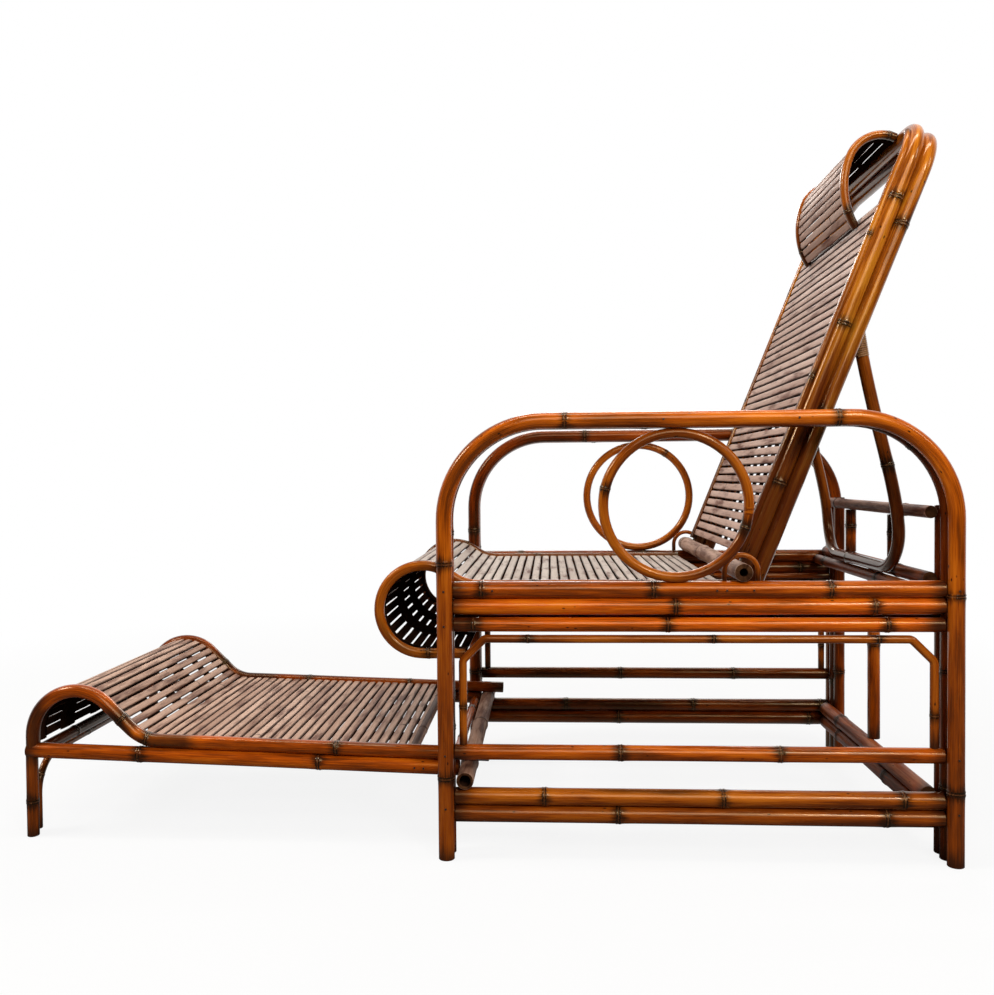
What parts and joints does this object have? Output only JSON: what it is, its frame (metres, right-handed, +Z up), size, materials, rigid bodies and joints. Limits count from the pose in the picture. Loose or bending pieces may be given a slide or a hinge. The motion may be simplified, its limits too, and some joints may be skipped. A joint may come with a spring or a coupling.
{
  "type": "folding recliner chair",
  "caption": "Bamboo lounge chair with bent arm hoops, a slatted seat that rolls over at the front, a reclining slatted back on a prop, and a slatted footrest that slides out.",
  "frame": {"origin": "centre of the bounding box on the floor", "axes": "+Z up, +X from the footrest towards the rear, +Y across the chair to the right-hand arm"},
  "size_m": [1.5123, 0.631, 1.1732],
  "materials": {
    "lacquered_pole": "glossy orange-brown lacquered bamboo",
    "dark_pole": "glossy dark red-brown lacquered bamboo",
    "bare_slats": "matt grey-brown bamboo strip",
    "cane": "satin lacquered cane",
    "worn_pole": "pale worn bamboo"
  },
  "bodies": {
    "base": {"back_stop_rail": "worn_pole", "front_seat_cross_pole": "dark_pole", "left_arm_ring": "cane", "left_guide_rail": "lacquered_pole", "left_inner_arm_hoop": "dark_pole", "left_lower_floor_rail": "lacquered_pole", "left_lower_seat_rail": "lacquered_pole", "left_middle_seat_rail": "lacquered_pole", "left_outer_arm_hoop": "lacquered_pole", "left_pivot_staple": "cane", "left_rear_inner_post": "dark_pole", "left_seat_brace": "cane", "left_seat_edge_pole": "lacquered_pole", "left_stop_post": "dark_pole", "left_upper_floor_rail": "lacquered_pole", "left_upper_seat_rail": "lacquered_pole", "prop_rest_pole": "dark_pole", "rear_lower_cross_pole": "lacquered_pole", "rear_seat_cross_pole": "dark_pole", "rear_seat_cross_rail": "lacquered_pole", "rear_strut": "dark_pole", "rear_upper_cross_pole": "lacquered_pole", "right_arm_ring": "cane", "right_guide_rail": "lacquered_pole", "right_inner_arm_hoop": "dark_pole", "right_lower_floor_rail": "lacquered_pole", "right_lower_seat_rail": "lacquered_pole", "right_middle_seat_rail": "lacquered_pole", "right_outer_arm_hoop": "lacquered_pole", "right_pivot_staple": "cane", "right_rear_inner_post": "dark_pole", "right_seat_brace": "cane", "right_seat_edge_pole": "lacquered_pole", "right_stop_post": "dark_pole", "right_upper_floor_rail": "lacquered_pole", "right_upper_seat_rail": "lacquered_pole", "seat_roll_slats": "bare_slats", "seat_slats": "bare_slats"},
    "pivot": {"pivot_tube": "worn_pole"},
    "back": {"back_front_hoop": "lacquered_pole", "back_rear_hoop": "lacquered_pole", "left_back_edge_batten": "cane", "right_back_edge_batten": "cane", "back_slats": "bare_slats", "left_headrest_cane": "cane", "right_headrest_cane": "cane", "headrest_slats": "bare_slats", "prop_rod": "dark_pole"},
    "prop": {"prop_frame": "lacquered_pole"},
    "footrest": {"footrest_arch_brace": "cane", "footrest_front_cross_bar": "lacquered_pole", "footrest_slats": "bare_slats", "footrest_slide_tube": "worn_pole", "footrest_tie_bar": "lacquered_pole", "left_footrest_leg": "lacquered_pole", "left_footrest_lower_rail": "lacquered_pole", "left_footrest_upper_rail": "lacquered_pole", "right_footrest_leg": "lacquered_pole", "right_footrest_lower_rail": "lacquered_pole", "right_footrest_upper_rail": "lacquered_pole"}
  },
  "joints": [
    {"name": "back_recline", "type": "hinge", "parent": "base", "child": "pivot", "pos_m": [0.42431, 0, 0.4483], "axis": [0, 1, 0], "range_deg": [0, 39]},
    {"name": "back_fold", "type": "hinge", "parent": "pivot", "child": "back", "pos_m": [0.42431, 0, 0.4483], "axis": [0, 1, 0], "range_deg": [-105, 0]},
    {"name": "prop_swing", "type": "hinge", "parent": "back", "child": "prop", "pos_m": [0.62843, 0, 0.85017], "axis": [0, 1, 0], "range_deg": [0, 33.5]},
    {"name": "footrest_slide", "type": "slide", "parent": "base", "child": "footrest", "axis": [1, 0, 0], "range_m": [0, 0.69]}
  ],
  "couplings": [
    {"joint": "prop_swing", "follows": "back_recline", "ratio": 0.8538}
  ]
}
